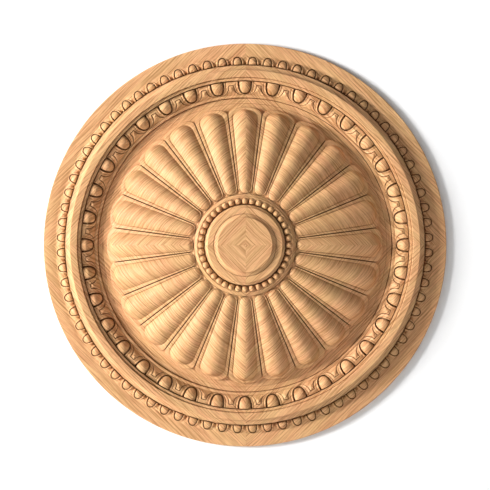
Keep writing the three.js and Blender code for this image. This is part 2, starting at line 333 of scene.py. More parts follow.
# The domed body. Its widths are shares of the cell, its rises shares of its half width
HALF_PITCH_SLOPE = math.tan(math.pi / PETALS)
BODY_INNER_SHARE = 0.74
BODY_OUTER_SHARE = 0.725
BODY_INNER_RISE_SHARE = 0.42
BODY_OUTER_RISE_SHARE = 0.49
BODY_ARC_SHARE = 1.436
BODY_TIP_RADIUS = 201.8
BODY_TIP_LENGTH = 15.4
BODY_SPINE_LENGTH = 9.5
BODY_OUTER_CENTRE = BODY_TIP_RADIUS - BODY_TIP_LENGTH
BODY_INNER_RADIUS = 77.2
BODY_INNER_CENTRE = BODY_INNER_RADIUS / (1 - BODY_INNER_SHARE * HALF_PITCH_SLOPE)
BODY_LEVELS = (0.12, 0.25, 0.38, 0.5, 0.62, 0.73, 0.82, 0.9, 0.96, 1.0)
TIP_ROUNDNESS = 2.2

# The border round the body, and the crease between the two
BORDER_INNER_RADIUS = 76.7
BORDER_OUTER_CENTRE = lerp(BODY_OUTER_CENTRE, BODY_TIP_RADIUS, 0.4)
BORDER_SIDE_RISE = 0.6
BORDER_TIP_RISE = 0.25
BORDER_FALL_START = 188.0
BORDER_FALL_END = 200.0
BORDER_WALL_WIDTH = 0.55
BORDER_WALL_FOOT_RISE = 0.4
SIDE_CREASE_DEPTH = 0.6
TIP_CREASE_DEPTH = 0.05

# From the body's edge outwards: share of the way over the border, share of the crease, share of the rise
BORDER_PROFILE = (
    (0.10, 1.0, 0.0),
    (0.24, 0.0, 0.8),
    (0.50, 0.0, 1.0),
    (0.94, 0.0, 1.0),
    (1.00, 0.0, 0.75),
)

# The groove between two petals
GROOVE_HALF_WIDTH = 0.8
GROOVE_DEPTH = 5.2
GROOVE_START_DEPTH = 1.8
GROOVE_FULL_RADIUS = 100.0
GROOVE_END_RADIUS = 192.0
GROOVE_FOOT_RADII = (194.2, 197.0, 200.0, 203.5, TIP_RADIUS)

# Steps along each part of a petal's outline
PETAL_SPINE_STEPS = 14
PETAL_SIDE_STEPS = 12
PETAL_TIP_STEPS = 26
PETAL_INNER_STEPS = 14
PETAL_OUTER_ARC_STEPS = 12
PETAL_INNER_ARC_STEPS = 12


def field_ground(radius):
    """The field follows its arc, then runs on straight once it is steep enough."""
    straight_run = FIELD_ARC_RADIUS * math.sin(FIELD_STRAIGHT_SLOPE)
    run = radius - BEAD_INNER_RADIUS
    arc_run = min(run, straight_run)
    height = FIELD_TOP - FIELD_ARC_RADIUS + math.sqrt(FIELD_ARC_RADIUS ** 2 - arc_run ** 2)
    return height - (run - arc_run) * math.tan(FIELD_STRAIGHT_SLOPE)


def field_floor(radius):
    """The bottom of the grooves between petals, which opens into the low ground round the tips."""
    if radius <= GROOVE_END_RADIUS:
        opened = min(1, (radius - FIELD_INNER_RADIUS) / (GROOVE_FULL_RADIUS - FIELD_INNER_RADIUS))
        return field_ground(radius) - lerp(GROOVE_START_DEPTH, GROOVE_DEPTH, max(0, opened))
    share = min(1, (radius - GROOVE_END_RADIUS) / (SCALLOP_RADIUS - GROOVE_END_RADIUS))
    groove_end = field_ground(GROOVE_END_RADIUS) - GROOVE_DEPTH
    return lerp(SCALLOP_HEIGHT, groove_end, (1 - share) ** 2)


def body_half_width(along):
    share = (along - BODY_INNER_CENTRE) / (BODY_OUTER_CENTRE - BODY_INNER_CENTRE)
    return along * HALF_PITCH_SLOPE * lerp(BODY_INNER_SHARE, BODY_OUTER_SHARE, share)


def body_rise(along):
    held = min(max(along, BODY_INNER_CENTRE), BODY_OUTER_CENTRE)
    share = (held - BODY_INNER_CENTRE) / (BODY_OUTER_CENTRE - BODY_INNER_CENTRE)
    return lerp(BODY_INNER_RISE_SHARE, BODY_OUTER_RISE_SHARE, share) * body_half_width(held)


def dome(share):
    """The height of a circular arc at this share of its half width, from 1 in the middle to 0."""
    foot = math.sqrt(BODY_ARC_SHARE ** 2 - 1)
    return (math.sqrt(BODY_ARC_SHARE ** 2 - share ** 2) - foot) / (BODY_ARC_SHARE - foot)


def power_turn(turn, roundness):
    """Cosine and sine of a turn on a squared-off circle."""
    power = 2 / roundness
    across = math.copysign(abs(math.cos(turn)) ** power, math.cos(turn))
    return across, abs(math.sin(turn)) ** power


def petal_outline(inner, outer):
    """Each end is (centre, half width, reach). Clockwise from the left of the inner end."""
    inner_centre, inner_width, inner_reach = inner
    outer_centre, outer_width, outer_reach = outer
    side = []
    for i in range(PETAL_SIDE_STEPS):
        share = i / PETAL_SIDE_STEPS
        side.append((lerp(inner_width, outer_width, share), lerp(inner_centre, outer_centre, share)))
    points = [(-across, along) for across, along in side]
    for i in range(PETAL_TIP_STEPS + 1):
        cosine, sine = power_turn(math.pi * i / PETAL_TIP_STEPS, TIP_ROUNDNESS)
        points.append((-outer_width * cosine, outer_centre + outer_reach * sine))
    points.extend(reversed(side[1:]))
    for i in range(PETAL_INNER_STEPS):
        turn = math.pi * i / PETAL_INNER_STEPS
        points.append((inner_width * math.cos(turn), inner_centre - inner_reach * math.sin(turn)))
    return points


def body_ends(share):
    """The ends of the outline at this share of the body's width."""
    inner_width = body_half_width(BODY_INNER_CENTRE)
    outer_width = body_half_width(BODY_OUTER_CENTRE)
    inner = (BODY_INNER_CENTRE, share * inner_width, share * (BODY_INNER_CENTRE - BODY_INNER_RADIUS))
    outer = (BODY_OUTER_CENTRE, share * outer_width, lerp(BODY_SPINE_LENGTH, BODY_TIP_LENGTH, share))
    return inner, outer


def border_ends(inset, tip_growth=0.0):
    """The ends of the outline that runs this far inside the cell's edge."""
    inner_width = BODY_INNER_CENTRE * HALF_PITCH_SLOPE - inset
    outer_width = BORDER_OUTER_CENTRE * HALF_PITCH_SLOPE - inset
    inner = (BODY_INNER_CENTRE, inner_width, BODY_INNER_CENTRE - BORDER_INNER_RADIUS)
    outer = (BORDER_OUTER_CENTRE, outer_width, TIP_RADIUS + tip_growth - BORDER_OUTER_CENTRE)
    return inner, outer


def between_ends(start, end, share):
    return tuple(tuple(lerp(a, b, share) for a, b in zip(*pair)) for pair in zip(start, end))


def border_rise(along):
    """The border stands a little lower round the petal's tip than along its sides."""
    share = (along - BORDER_FALL_START) / (BORDER_FALL_END - BORDER_FALL_START)
    return lerp(BORDER_SIDE_RISE, BORDER_TIP_RISE, min(max(share, 0), 1))


def crease(along):
    """The line between a petal's body and its border fades out round the tip."""
    share = (along - BODY_OUTER_CENTRE) / (BORDER_FALL_END - BODY_OUTER_CENTRE)
    return lerp(SIDE_CREASE_DEPTH, TIP_CREASE_DEPTH, min(max(share, 0), 1))


def petal():
    carving = Carving()

    def lay(outline, rise, ground=field_ground):
        points = []
        for across, along in outline:
            height = ground(math.hypot(across, along)) + rise(along)
            points.append((across, along, height))
        return closed(carving.line(points))

    spine_end = BODY_OUTER_CENTRE + BODY_SPINE_LENGTH
    spine_points = []
    for i in range(PETAL_SPINE_STEPS + 1):
        along = lerp(BODY_INNER_CENTRE, spine_end, i / PETAL_SPINE_STEPS)
        spine_points.append((0, along, field_ground(along) + body_rise(along)))
    spine = carving.line(spine_points)
    lines = [[*spine, *reversed(spine[:-1])]]
    for share in BODY_LEVELS:
        level = dome(share)
        lines.append(lay(petal_outline(*body_ends(share)), lambda along: level * body_rise(along)))
    foot, edge = body_ends(1), border_ends(GROOVE_HALF_WIDTH)
    for share, sunk, raised in BORDER_PROFILE:
        outline = petal_outline(*between_ends(foot, edge, share))
        lines.append(lay(outline, lambda along: raised * border_rise(along) - sunk * crease(along)))
    wall_foot = border_ends(GROOVE_HALF_WIDTH - BORDER_WALL_WIDTH, BORDER_WALL_WIDTH)
    lines.append(lay(petal_outline(*wall_foot), lambda along: BORDER_WALL_FOOT_RISE, field_floor))
    shares = [i / PETAL_SIDE_STEPS for i in range(PETAL_SIDE_STEPS + 1)]
    radii = [lerp(BODY_INNER_CENTRE, GROOVE_END_RADIUS, share) for share in shares]
    radii = [FIELD_INNER_RADIUS, *radii, *GROOVE_FOOT_RADII, SCALLOP_RADIUS]
    profile = [(radius, field_floor(radius)) for radius in radii]
    left = carving.line(spoke_points(profile, PETALS, -1))
    outer = carving.line(arc_points(SCALLOP_RADIUS, SCALLOP_HEIGHT, PETALS, PETAL_OUTER_ARC_STEPS))
    right = carving.line(spoke_points(profile, PETALS, 1))
    inner_height = field_ground(FIELD_INNER_RADIUS) - FIELD_INNER_SINK
    inner_arc = arc_points(FIELD_INNER_RADIUS, inner_height, PETALS, PETAL_INNER_ARC_STEPS)
    inner = carving.line(inner_arc)
    carving.chain(lines)
    carving.join(lines[-1], closed([*left, *outer, *reversed(right), *reversed(inner)]))
    rim_arc = arc_points(FIELD_OUTER_RADIUS, SCALLOP_HEIGHT, PETALS, PETAL_OUTER_ARC_STEPS)
    rim_ends = [(FIELD_OUTER_RADIUS, SCALLOP_HEIGHT)]
    left_end = carving.line(spoke_points(rim_ends, PETALS, -1))
    right_end = carving.line(spoke_points(rim_ends, PETALS, 1))
    rim_line = [*left_end, *carving.line(rim_arc), *right_end]
    carving.join([left[-1], *outer, right[-1]], rim_line)
    return carving, [left[0], *inner, right[0]], rim_line


# Egg-and-dart
EGG_SPINE_STEPS = 4


def arch(half_width, reach, roundness, steps):
    """From the left end on the flat side of the band, round the tip, to the right end."""
    points = []
    for i in range(steps + 1):
        cosine, sine = power_turn(math.pi * i / steps, roundness)
        at_end = i in (0, steps)
        points.append((-half_width * cosine, 0 if at_end else reach * sine))
    return points


class EggBand:
    """Lays (across, reach) points on a band that starts at its flat radius and falls towards its tips."""

    def __init__(self, count, flat_radius, direction, ground):
        self.count = count
        self.flat_radius = flat_radius
        self.direction = direction
        self.ground = ground
        self.carving = Carving()
        self.lines = []

    def lay(self, points, rise):
        laid = []
        for across, reach in points:
            radius = self.flat_radius + self.direction * reach
            along = math.sqrt(radius ** 2 - across ** 2)
            laid.append((across, along, self.ground(reach) + rise(across, reach)))
        return self.carving.line(laid)

    def edge(self, reach):
        """How far across the cell's edge lies at this reach."""
        return (self.flat_radius + self.direction * reach) * math.sin(math.pi / self.count)

    def flat_edge(self, lines):
        """The flat side from left to right, through the ends of lines that come from the middle out."""
        left = [line[0] for line in reversed(lines)]
        right = [line[-1] for line in lines[1:]]
        return [*left, *right]

    def fill(self, lines):
        paths = [list(reversed(line)) for line in lines] if self.direction < 0 else lines
        self.carving.chain(paths)

    def add_egg(self, half_width, reach, spine, rise, flatness, levels, roundness, steps):
        """The domed egg: a spine down its middle, then arches that grow to its edge."""
        points = [(0, spine * i / EGG_SPINE_STEPS) for i in range(EGG_SPINE_STEPS + 1)]
        line = self.lay(points, lambda across, out: rise)
        self.lines.append([*line, *reversed(line[:-1])])
        for level in levels:
            height = rise * math.sqrt(1 - (flatness * level) ** 2)
            outline = arch(half_width * level, lerp(spine, reach, level), roundness, steps)
            self.lines.append(self.lay(outline, lambda across, out: height))

    def add_shells(self, shells, bend, roundness, steps):
        """Arches round the egg, whose rise goes from that at the sides to that at the tip."""
        for half_width, reach, side_rise, tip_rise in shells:
            def rise(across, out):
                return lerp(side_rise, tip_rise, (out / reach) ** bend)
            self.lines.append(self.lay(arch(half_width, reach, roundness, steps), rise))

    def sides(self, ridge):
        """The cell's left and right side, along the middle of the darts, through (reach, rise) pairs."""
        rises = dict(ridge)
        lines = []
        for side in (-1, 1):
            points = [(side * self.edge(out), out) for out in rises]
            lines.append(self.lay(points, lambda across, out: rises[out]))
        return lines


# Inner eggs
INNER_EGG_STEPS = 32
INNER_TIP_ARC_STEPS = 8
INNER_EGG_ROUNDNESS = 2.5
INNER_EGG_LEVELS = (0.25, 0.45, 0.62, 0.76, 0.87, 0.95, 1.0)
INNER_SHELL_BEND = 4
INNER_CORNER_RISE = 1.1

# The groove round the egg, then its shell: half width, reach, rise at the sides, rise at the tip
INNER_SHELLS = (
    (8.5, 16.85, -5.0, -4.4),
    (10.4, 18.25, -5.0, -4.4),
    (10.8, 18.55, 1.3, 0.0),
    (11.2, 18.7, 1.7, -0.3),
    (12.6, 18.8, 1.5, -0.8),
    (13.4, 18.9, 0.6, -1.4),
    (14.2, 19.0, 1.2, -1.4),
)

# Lines of the dart's wings: half width, reach, reach of the top, rise at the sides, rise at the tip
DART_TOP = 5.0
DART_ROUNDNESS = 2.8
DART_BEND = 5
DART_WINGS = (
    (16.8, 19.06, DART_TOP, 1.2, -1.5),
    (17.3, 19.12, DART_TOP + 0.5, -1.9, -1.7),
    (17.9, 19.18, DART_TOP + 1.0, 0.4, -1.6),
    (18.7, 19.24, DART_TOP + 2.6, 1.0, -1.5),
    (19.4, 19.3, DART_TOP + 3.6, 1.8, -1.5),
)

# The dart's ridge, between two eggs: reach, rise
DART_RIDGE = ((9.6, 3.0), (12.0, 2.8), (15.0, 1.8), (17.4, -0.2), (INNER_EGG_END, -INNER_EGG_END_SINK))


def inner_ground(reach):
    """The height on which the inner eggs lie, highest at the crown and falling both ways from it."""
    width = INNER_EGG_OUTER_RADIUS - INNER_EGG_INNER_RADIUS
    if reach < INNER_EGG_CROWN:
        return INNER_EGG_LOW + INNER_EGG_FALL - INNER_EGG_DIP * (1 - reach / INNER_EGG_CROWN) ** 2
    share = min(1, (reach - INNER_EGG_CROWN) / (width - INNER_EGG_CROWN))
    straight = 0.5 * (1 - share)
    wave = 0.25 * (1 + math.cos(math.pi * share))
    return INNER_EGG_LOW + INNER_EGG_FALL * (straight + wave)


def dart_outline(band, half_width, reach, top):
    """Across the top of the dart, down its side, round under the egg's tip and back up the other side."""
    whole = arch(half_width, reach, DART_ROUNDNESS, INNER_EGG_STEPS)
    side = [(across, out) for across, out in whole if out > top]
    corner = half_width * (1 - (top / reach) ** DART_ROUNDNESS) ** (1 / DART_ROUNDNESS)
    edge = band.edge(top)
    return [(-edge, top), (-corner, top), *side, (corner, top), (edge, top)]


def inner_egg():
    band = EggBand(INNER_EGGS, INNER_EGG_OUTER_RADIUS, -1, inner_ground)
    band.add_egg(half_width=8.3, reach=16.6, spine=8.3, rise=4.6, flatness=0.96,
                 levels=INNER_EGG_LEVELS, roundness=INNER_EGG_ROUNDNESS, steps=INNER_EGG_STEPS)
    band.add_shells(INNER_SHELLS, INNER_SHELL_BEND, INNER_EGG_ROUNDNESS, INNER_EGG_STEPS)
    corner = band.edge(0)
    corners = band.lay([(-corner, 0), (corner, 0)], lambda across, out: INNER_CORNER_RISE)
    outer_edge = band.flat_edge([*band.lines, corners])
    wings = []
    for half_width, reach, top, side_rise, tip_rise in DART_WINGS:
        def rise(across, out):
            return lerp(side_rise, tip_rise, max(0, (out - top) / (reach - top)) ** DART_BEND)
        wings.append(band.lay(dart_outline(band, half_width, reach, top), rise))
    band.fill([*band.lines, [corners[0], *wings[0], corners[1]]])
    left, right = band.sides(DART_RIDGE)
    tip_radius = INNER_EGG_OUTER_RADIUS - INNER_EGG_END
    tip_height = inner_ground(INNER_EGG_END) - INNER_EGG_END_SINK
    tips = band.carving.line(arc_points(tip_radius, tip_height, INNER_EGGS, INNER_TIP_ARC_STEPS))
    last = wings[-1]
    band.fill([*wings, [last[0], *left, *tips, *reversed(right), last[-1]]])
    return band.carving, [left[-1], *tips, right[-1]], outer_edge


# Outer eggs
OUTER_EGG_STEPS = 20
OUTER_TIP_ARC_STEPS = 6
OUTER_EGG_ROUNDNESS = 2.4
OUTER_EGG_LEVELS = (0.3, 0.55, 0.75, 0.9, 1.0)
OUTER_GROUND_WAVE_SHARE = 0.4
OUTER_SHELL_BEND = 1

# The groove round the egg, then its shell: half width, reach, rise at the sides, rise at the tip
OUTER_SHELLS = (
    (5.6, 10.4, -3.2, -3.0),
    (6.7, 11.6, -3.2, -3.0),
    (7.0, 11.9, 0.5, 0.2),
    (7.4, 12.3, 0.8, 0.2),
    (8.5, 12.7, 0.7, 0.2),
    (9.6, 13.1, -3.4, 0.1),
)

# The small dart, between two eggs: reach, rise
SMALL_DART_RIDGE = (
    (0, -3.8),
    (2.5, -3.6),
    (5.5, -1.8),
    (8.0, -0.5),
    (11.4, 0.2),
    (OUTER_EGG_WIDTH, FLANGE_STEP),
)


def outer_ground(reach):
    """The height on which the outer eggs lie, highest at the crown and falling both ways from it."""
    foot = FLANGE_HEIGHT - FLANGE_DISH - FLANGE_STEP
    if reach < OUTER_EGG_CROWN:
        return foot + OUTER_EGG_FALL - OUTER_EGG_DIP * (1 - reach / OUTER_EGG_CROWN) ** 2
    share = min(1, (reach - OUTER_EGG_CROWN) / (OUTER_EGG_FOOT - OUTER_EGG_CROWN))
    quarter_wave = math.cos(math.pi / 2 * share)
    half_wave = (1 + math.cos(math.pi * share)) / 2
    return foot + OUTER_EGG_FALL * lerp(quarter_wave, half_wave, OUTER_GROUND_WAVE_SHARE)


def outer_egg():
    band = EggBand(OUTER_EGGS, OUTER_EGG_INNER_RADIUS, 1, outer_ground)
    band.add_egg(half_width=5.5, reach=10.2, spine=4.9, rise=2.4, flatness=0.92,
                 levels=OUTER_EGG_LEVELS, roundness=OUTER_EGG_ROUNDNESS, steps=OUTER_EGG_STEPS)
    band.add_shells(OUTER_SHELLS, OUTER_SHELL_BEND, OUTER_EGG_ROUNDNESS, OUTER_EGG_STEPS)
    left, right = band.sides(SMALL_DART_RIDGE)
    tip_radius = OUTER_EGG_INNER_RADIUS + OUTER_EGG_WIDTH
    tip_height = FLANGE_HEIGHT - FLANGE_DISH
    tips = band.carving.line(arc_points(tip_radius, tip_height, OUTER_EGGS, OUTER_TIP_ARC_STEPS))
    band.lines.append([*left, *tips, *reversed(right)])
    band.fill(band.lines)
    return band.carving, band.flat_edge(band.lines), [left[-1], *tips, right[-1]]


# Plain mouldings between the carved rings, from the middle out, and the rim and the back
FILLET_SIDES = BOSS_SIDES
VALLEY_SIDES = PETALS * PETAL_OUTER_ARC_STEPS
BAND_SIDES = 240
RIM_SIDES = OUTER_EGGS * OUTER_TIP_ARC_STEPS


def bead_fillet():
    top = BEAD_FLOOR + BEAD_FILLET_RISE
    foot = field_ground(FIELD_INNER_RADIUS)
    return turned([
        (BEAD_OUTER_RADIUS, BEAD_OUTER_GROUND, 0),
        (BEAD_OUTER_RADIUS + 0.2, top, 0),
        *cove(BEAD_FILLET_RADIUS, top, BEAD_FILLET_FOOT_RADIUS, top - BEAD_FILLET_DROP),
        (BEAD_FILLET_FOOT_RADIUS + 0.3, foot - BEAD_FILLET_QUIRK_START, 0),
        (FIELD_INNER_RADIUS - 0.2, foot - BEAD_FILLET_QUIRK_END, 0),
    ], FILLET_SIDES)


def valley():
    dip_radius = lerp(VALLEY_INNER_RADIUS, VALLEY_OUTER_RADIUS, 0.55)
    end = INNER_EGG_OUTER_RADIUS - INNER_EGG_END
    return turned([
        (FIELD_OUTER_RADIUS, SCALLOP_HEIGHT, 0),
        (FIELD_OUTER_RADIUS + 0.5, VALLEY_HEIGHT - VALLEY_QUIRK_DEPTH, 0),
        (VALLEY_INNER_RADIUS + 0.3, VALLEY_HEIGHT - VALLEY_QUIRK_DEPTH, 0),
        (VALLEY_INNER_RADIUS + 1.1, VALLEY_HEIGHT, 0),
        (dip_radius, VALLEY_HEIGHT - VALLEY_DIP, VALLEY_DIP_CUT),
        (VALLEY_OUTER_RADIUS - 0.4, VALLEY_HEIGHT - 0.1, 0),
        (VALLEY_OUTER_RADIUS + 0.2, VALLEY_HEIGHT - LOW_FILLET_QUIRK_DEPTH, 0),
        (LOW_FILLET_RADIUS - 0.5, VALLEY_HEIGHT - LOW_FILLET_QUIRK_DEPTH, 0),
        (LOW_FILLET_RADIUS + 0.1, LOW_FILLET_HEIGHT, 0.3),
        (end - 0.5, LOW_FILLET_HEIGHT - 0.1, 0.2),
        (end, inner_ground(INNER_EGG_END) - INNER_EGG_END_SINK, 0),
    ], VALLEY_SIDES)


def band():
    inner_quirk = inner_ground(0) - BAND_QUIRK_DEPTH
    outer_quirk = outer_ground(0) - BAND_QUIRK_DEPTH
    return turned([
        (INNER_EGG_OUTER_RADIUS + 0.3, inner_quirk, 0),
        (INNER_EGG_OUTER_RADIUS + BAND_QUIRK_WIDTH + 0.5, inner_quirk, 0),
        (INNER_EGG_OUTER_RADIUS + BAND_QUIRK_WIDTH + 0.9, BAND_FILLET_HEIGHT, 0.3),
        (BAND_FILLET_RADIUS, BAND_FILLET_HEIGHT, 0),
        (BAND_FILLET_RADIUS + 0.3, BAND_FILLET_HEIGHT - BAND_STEP_DEPTH, 0),
        (BAND_FILLET_RADIUS + 0.6, BAND_FILLET_HEIGHT - BAND_STEP_DEPTH, 0),
        (BAND_INNER_RADIUS, BAND_HEIGHT, 0.3),
        *cove(BAND_OUTER_RADIUS, BAND_HEIGHT, BEVEL_STEP_RADIUS, BEVEL_HEIGHT + BEVEL_STEP),
        (BEVEL_OUTER_RADIUS, BEVEL_HEIGHT, 0),
        (BEVEL_OUTER_RADIUS + 0.6, outer_quirk, 0),
        (OUTER_EGG_INNER_RADIUS - 0.4, outer_quirk, 0),
    ], BAND_SIDES)


def rim():
    """The flange with its dish and its edge, and the flat back."""
    start = OUTER_EGG_INNER_RADIUS + OUTER_EGG_WIDTH
    carving, first, last = turned([
        *((start + out, FLANGE_HEIGHT - depth, 0) for out, depth in FLANGE_DISH_PROFILE),
        (RIM_RADIUS, FLANGE_HEIGHT, RIM_FRONT_CUT),
        (RIM_RADIUS, 0, RIM_BACK_CUT),
        (RIM_RADIUS / 2, 0, 0),
    ], RIM_SIDES)
    centre = carving.line([(0, 0, 0)])[0]
    for a, b in zip(last, last[1:]):
        carving.add(a, b, centre)
    return carving, first, last


# The whole skin
class Skin(Carving):
    """All motifs together, in the object's own axes and in metres."""

    def place(self, motif, count=1, phase=0.0):
        """Sets copies of a motif round the middle. Returns its inner and outer edge as closed lines."""
        carving, inner, outer = motif
        rings = [], []
        for k in range(count):
            turn = 2 * math.pi * (k + phase) / count
            sine, cosine = math.sin(turn), math.cos(turn)
            first = len(self.points)
            for across, along, height in carving.points:
                x = across * cosine + along * sine
                z = along * cosine - across * sine
                self.points.append((x * MM, -height * MM, z * MM))
            self.triangles.extend((a + first, b + first, c + first) for a, b, c in carving.triangles)
            for ring, edge in zip(rings, (inner, outer)):
                ring.extend(i + first for i in edge[:-1])
        return rings

    def from_top(self, ring):
        """The ring turned so that it starts and ends at its point nearest the top."""
        def off_top(i):
            x, _, z = self.points[ring[i]]
            return abs(math.atan2(x, z))

        start = min(range(len(ring)), key=off_top)
        return closed(ring[start:] + ring[:start])

    def bridge(self, inner, outer):
        """Fills the strip between two rings whose points don't lie opposite each other."""
        self.join(self.from_top(inner), self.from_top(outer))


OUTER_EGGS_PHASE = 0.5


def carved_skin():
    """Rings that aren't bridged meet point by point, and are welded together afterwards."""
    skin = Skin()
    skin.place(boss())
    skin.place(bead(), BEADS)
    _, fillet_edge = skin.place(bead_fillet())
    petals_edge, _ = skin.place(petal(), PETALS)
    skin.bridge(fillet_edge, petals_edge)
    skin.place(valley())
    _, inner_eggs_edge = skin.place(inner_egg(), INNER_EGGS)
    band_start, band_end = skin.place(band())
    skin.bridge(inner_eggs_edge, band_start)
    outer_eggs_edge, _ = skin.place(outer_egg(), OUTER_EGGS, OUTER_EGGS_PHASE)
    skin.bridge(band_end, outer_eggs_edge)
    skin.place(rim())
    return skin


WELD = 1e-6


def carve(name):
    skin = carved_skin()
    mesh = bpy.data.meshes.new(name)
    mesh.from_pydata(skin.points, [], skin.triangles)
    edit = bmesh.new()
    edit.from_mesh(mesh)
    bmesh.ops.remove_doubles(edit, verts=edit.verts[:], dist=WELD)
    edit.to_mesh(mesh)
    edit.free()
    made = bpy.data.objects.new(name, mesh)
    bpy.context.scene.collection.objects.link(made)
    return made


# Wood
PALE_WOOD = (0.74, 0.435, 0.215, 1)
DARK_WOOD = (0.50, 0.265, 0.112, 1)
PINK_WOOD = (0.74, 0.345, 0.175, 1)
YELLOW_WOOD = (0.68, 0.43, 0.185, 1)
LINE_WOOD = (0.31, 0.135, 0.045, 1)
# The dark colour of the painted shade laid into recesses
PAINTED_RECESS_SHADE = (0.075, 0.028, 0.008, 1)
HUE_STRENGTH = 0.55
GROWTH_STRENGTH = 0.9

# Where the four mitres meet, how far the boards' patterns are shifted, and how the grain leans and wanders
GRAIN_CENTRE = (0.0012, -0.0004)
BOARD_SHIFT_ACROSS = 0.35
BOARD_SHIFT_UP = 0.15
GRAIN_LEAN = 0.35
WANDER_REPEATS = 14.0
WANDER_REACH = 0.006

# The growth lines' pitch in metres, and how far a noise shifts their phase, in radians
GROWTH_PITCH = 0.0039
GROWTH_SHIFT = 14.0

# How often each pattern repeats in a metre: across, through and along the grain
BAND_REPEATS = (120.0, 6.0, 3.0)
LINE_REPEATS = (400.0, 14.0, 10.0)
FINE_REPEATS = (720.0, 40.0, 30.0)
SPACING_REPEATS = (70.0, 5.0, 4.0)
BOLDNESS_REPEATS = (150.0, 9.0, 12.0)
FIBRE_REPEATS = (1700.0, 700.0, 120.0)
TINT_REPEATS = (60.0, 8.0, 7.0)
PATCH_REPEATS = 9.0

# How far off, in metres, a neighbouring face still adds painted shade to a recess
PAINTED_SHADE_REACH = 0.0035
PAINTED_SHADE_SAMPLES = 8

# Bump, its depth in metres
FIBRE_BUMP_SHARE = 0.3
BUMP_STRENGTH = 0.6
BUMP_DEPTH = 0.0008


class Nodes:
    """Short names for making and linking a material's nodes."""

    def __init__(self, material):
        self.tree = material.node_tree
        self.tree.nodes.clear()

    def add(self, kind, inputs=None, **settings):
        node = self.tree.nodes.new(kind)
        for name, value in settings.items():
            setattr(node, name, value)
        for key, value in (inputs or {}).items():
            if isinstance(value, bpy.types.NodeSocket):
                self.tree.links.new(value, node.inputs[key])
            else:
                node.inputs[key].default_value = value
        return node

    def math(self, operation, *values):
        return self.add("ShaderNodeMath", dict(enumerate(values)), operation=operation).outputs[0]

    def noise(self, vector, scale, detail=2.0, roughness=0.5):
        settings = {"Vector": vector, "Scale": scale, "Detail": detail, "Roughness": roughness}
        return self.add("ShaderNodeTexNoise", settings).outputs["Fac"]

    def grain_noise(self, grain, repeats, detail=1.0, roughness=0.5):
        scaled = self.add("ShaderNodeVectorMath", {0: grain, 1: repeats}, operation="MULTIPLY")
        return self.noise(scaled.outputs[0], 1.0, detail, roughness)

    def spread(self, value, low, high, to_low=0.0, to_high=1.0):
        """Maps low to high onto to_low to to_high, and holds the value at both ends."""
        inputs = {"Value": value, "From Min": low, "From Max": high, "To Min": to_low, "To Max": to_high}
        return self.add("ShaderNodeMapRange", inputs).outputs["Result"]

    def mix(self, share, first, second):
        node = self.add("ShaderNodeMix", data_type="RGBA")
        for key, value in (("Factor", share), ("A", first), ("B", second)):
            sockets = [s for s in node.inputs if s.name == key and s.enabled]
            if isinstance(value, bpy.types.NodeSocket):
                self.tree.links.new(value, sockets[0])
            else:
                sockets[0].default_value = value
        return [s for s in node.outputs if s.enabled][0]


def grain_space(nodes):
    """A grain that turns at mitres on the upright and level centre lines: across, through and along it."""
    where = nodes.add("ShaderNodeTexCoord").outputs["Object"]
    axes = nodes.add("ShaderNodeSeparateXYZ", {0: where})
    x = nodes.math("SUBTRACT", axes.outputs["X"], GRAIN_CENTRE[0])
    z = nodes.math("SUBTRACT", axes.outputs["Z"], GRAIN_CENTRE[1])
    wander = nodes.math("SUBTRACT", nodes.noise(where, WANDER_REPEATS, 1.0), 0.5)
    side, up = nodes.math("ABSOLUTE", x), nodes.math("ABSOLUTE", z)
    across = nodes.math("MULTIPLY", nodes.math("ADD", side, up), math.sqrt(0.5))
    across = nodes.math("MULTIPLY_ADD", wander, WANDER_REACH, across)
    across = nodes.math("MULTIPLY_ADD", axes.outputs["Y"], GRAIN_LEAN, across)
    along = nodes.math("MULTIPLY", nodes.math("SUBTRACT", side, up), math.sqrt(0.5))
    board = nodes.math("MULTIPLY", nodes.math("SIGN", x), BOARD_SHIFT_ACROSS)
    board = nodes.math("MULTIPLY_ADD", nodes.math("SIGN", z), BOARD_SHIFT_UP, board)
    through = nodes.math("ADD", axes.outputs["Y"], board)
    made = nodes.add("ShaderNodeCombineXYZ", {"X": across, "Y": through, "Z": along})
    return where, made.outputs[0]


